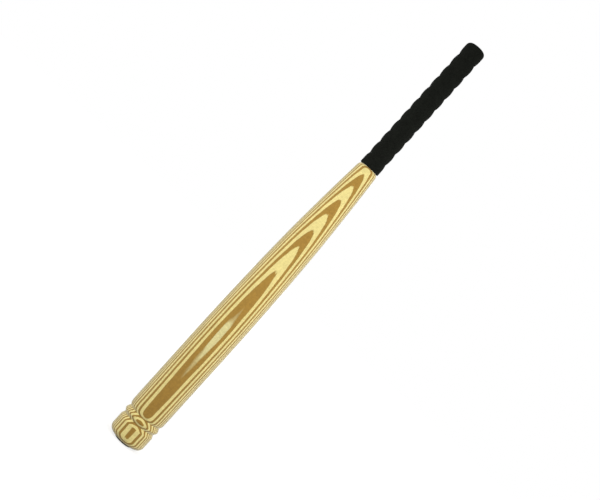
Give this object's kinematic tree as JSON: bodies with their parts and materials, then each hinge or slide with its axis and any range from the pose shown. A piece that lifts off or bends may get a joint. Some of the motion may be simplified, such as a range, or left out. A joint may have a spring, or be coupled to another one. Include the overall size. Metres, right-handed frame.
{
  "type": "baseball bat",
  "caption": "Toy baseball bat turned from glued cream and brown foam sheets on a core tube, with a grooved barrel end, a plugged tip and a black ring-waved foam grip.",
  "frame": {"origin": "centre of the barrel end plug's flat outer face, on the bat's axis, where the bat stands", "axes": "+Z along the bat's axis from the barrel end to the grip; the foam sheets lie across Y and -Y is the side in the picture"},
  "size_m": [0.0538, 0.0538, 0.6858],
  "materials": {
    "cream_foam": "matte closed-cell foam",
    "brown_foam": "matte closed-cell foam",
    "grip_foam": "matte foam with turned ring waves",
    "plug_plastic": "moulded, satin",
    "core_plastic": "extruded, satin"
  },
  "bodies": {
    "root": {"barrel_end_plug": "plug_plastic", "core_tube": "core_plastic", "grip_end_plug": "plug_plastic", "grip_sleeve": "grip_foam", "sheet_back_01_left": "brown_foam", "sheet_back_01_right": "brown_foam", "sheet_back_02_left": "cream_foam", "sheet_back_02_right": "cream_foam", "sheet_back_03_left": "brown_foam", "sheet_back_03_right": "brown_foam", "sheet_back_04_left": "cream_foam", "sheet_back_04_right": "cream_foam", "sheet_back_05": "brown_foam", "sheet_back_06": "cream_foam", "sheet_back_07": "brown_foam", "sheet_back_08": "cream_foam", "sheet_back_09": "brown_foam", "sheet_back_10": "cream_foam", "sheet_back_11": "brown_foam", "sheet_back_12": "cream_foam", "sheet_back_13": "brown_foam", "sheet_back_14": "cream_foam", "sheet_back_15": "brown_foam", "sheet_back_16": "cream_foam", "sheet_back_16_bead": "cream_foam", "sheet_back_16_end": "cream_foam", "sheet_back_17": "brown_foam", "sheet_back_17_bead": "brown_foam", "sheet_back_17_end": "brown_foam", "sheet_front_01_left": "cream_foam", "sheet_front_01_right": "cream_foam", "sheet_front_02_left": "brown_foam", "sheet_front_02_right": "brown_foam", "sheet_front_03_left": "cream_foam", "sheet_front_03_right": "cream_foam", "sheet_front_04": "brown_foam", "sheet_front_05": "cream_foam", "sheet_front_06": "brown_foam", "sheet_front_07": "cream_foam", "sheet_front_08": "brown_foam", "sheet_front_09": "cream_foam", "sheet_front_10": "brown_foam", "sheet_front_11": "cream_foam", "sheet_front_12": "brown_foam", "sheet_front_13": "cream_foam", "sheet_front_14": "brown_foam", "sheet_front_15": "cream_foam", "sheet_front_15_bead": "cream_foam", "sheet_front_15_end": "cream_foam", "sheet_front_16": "brown_foam", "sheet_front_16_bead": "brown_foam", "sheet_front_16_end": "brown_foam", "sheet_front_17": "cream_foam"}
  },
  "joints": []
}
